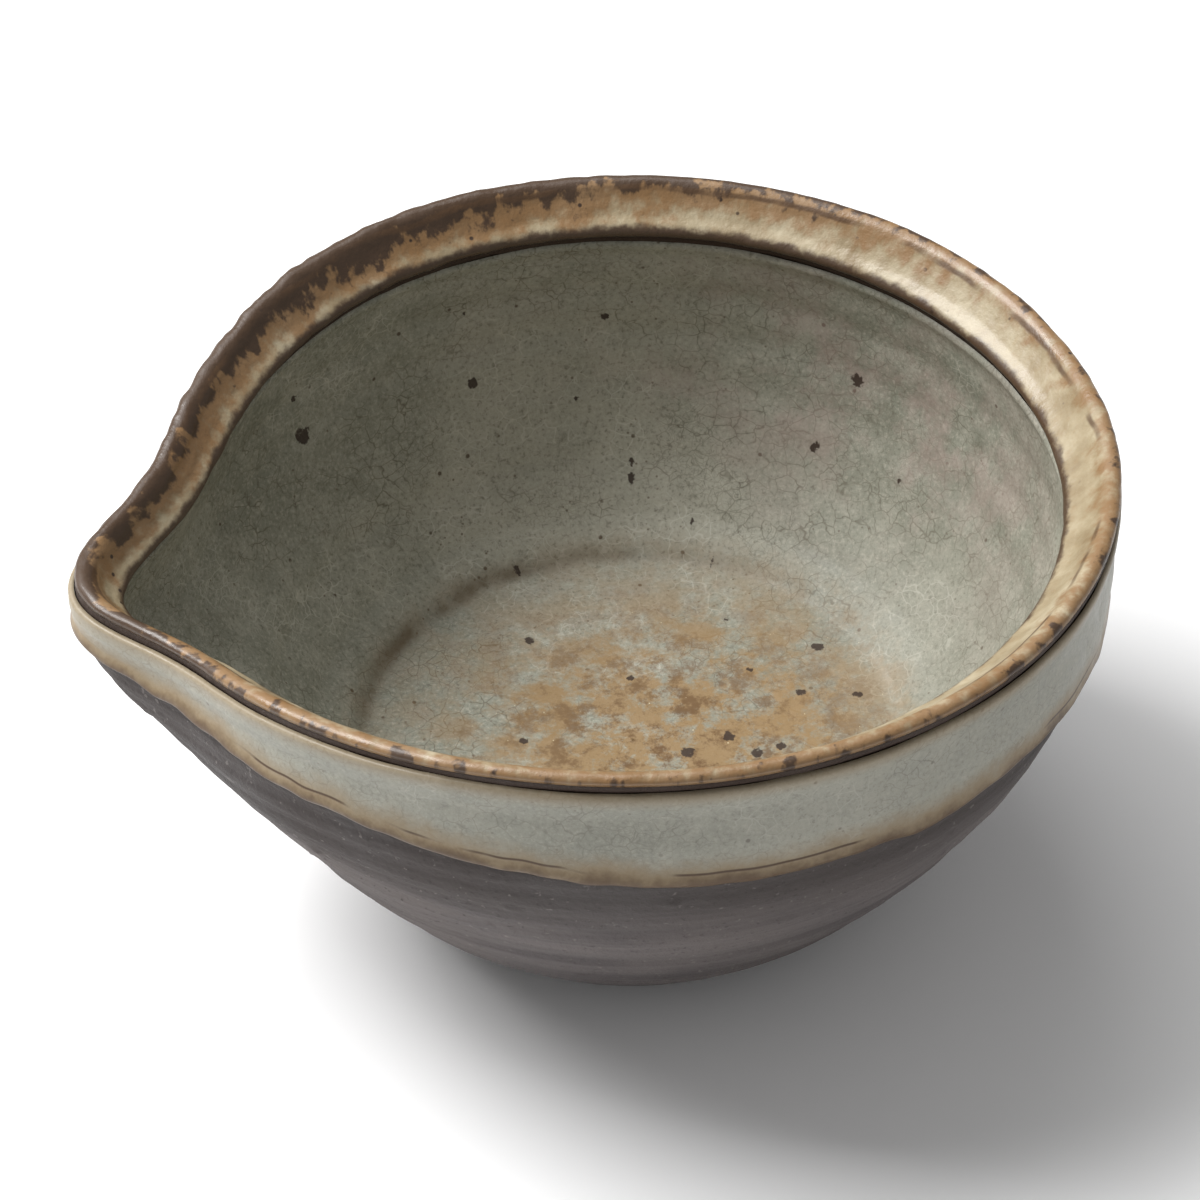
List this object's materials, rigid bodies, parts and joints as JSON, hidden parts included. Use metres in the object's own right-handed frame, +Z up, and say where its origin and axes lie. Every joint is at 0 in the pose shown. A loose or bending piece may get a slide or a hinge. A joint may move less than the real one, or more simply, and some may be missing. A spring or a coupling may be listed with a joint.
{
  "type": "spouted pouring bowl",
  "caption": "Round stoneware pouring bowl with a pulled spout, a rim collar, glaze inside and over the lip, and a foot ring.",
  "frame": {"origin": "on the table plane, under the middle of the bowl's whole length and width", "axes": "+Z up out of the mouth, -X towards the spout, +Y across"},
  "size_m": [0.1367, 0.1212, 0.0673],
  "materials": {
    "stoneware": "matt unglazed",
    "celadon_glaze": "satin gloss, crazed",
    "cream_glaze": "gloss"
  },
  "bodies": {
    "root": {"stoneware_bowl": "stoneware", "foot_ring": "stoneware", "outer_glaze_band": "celadon_glaze", "collar_glaze": "cream_glaze", "interior_glaze": "celadon_glaze"}
  },
  "joints": []
}
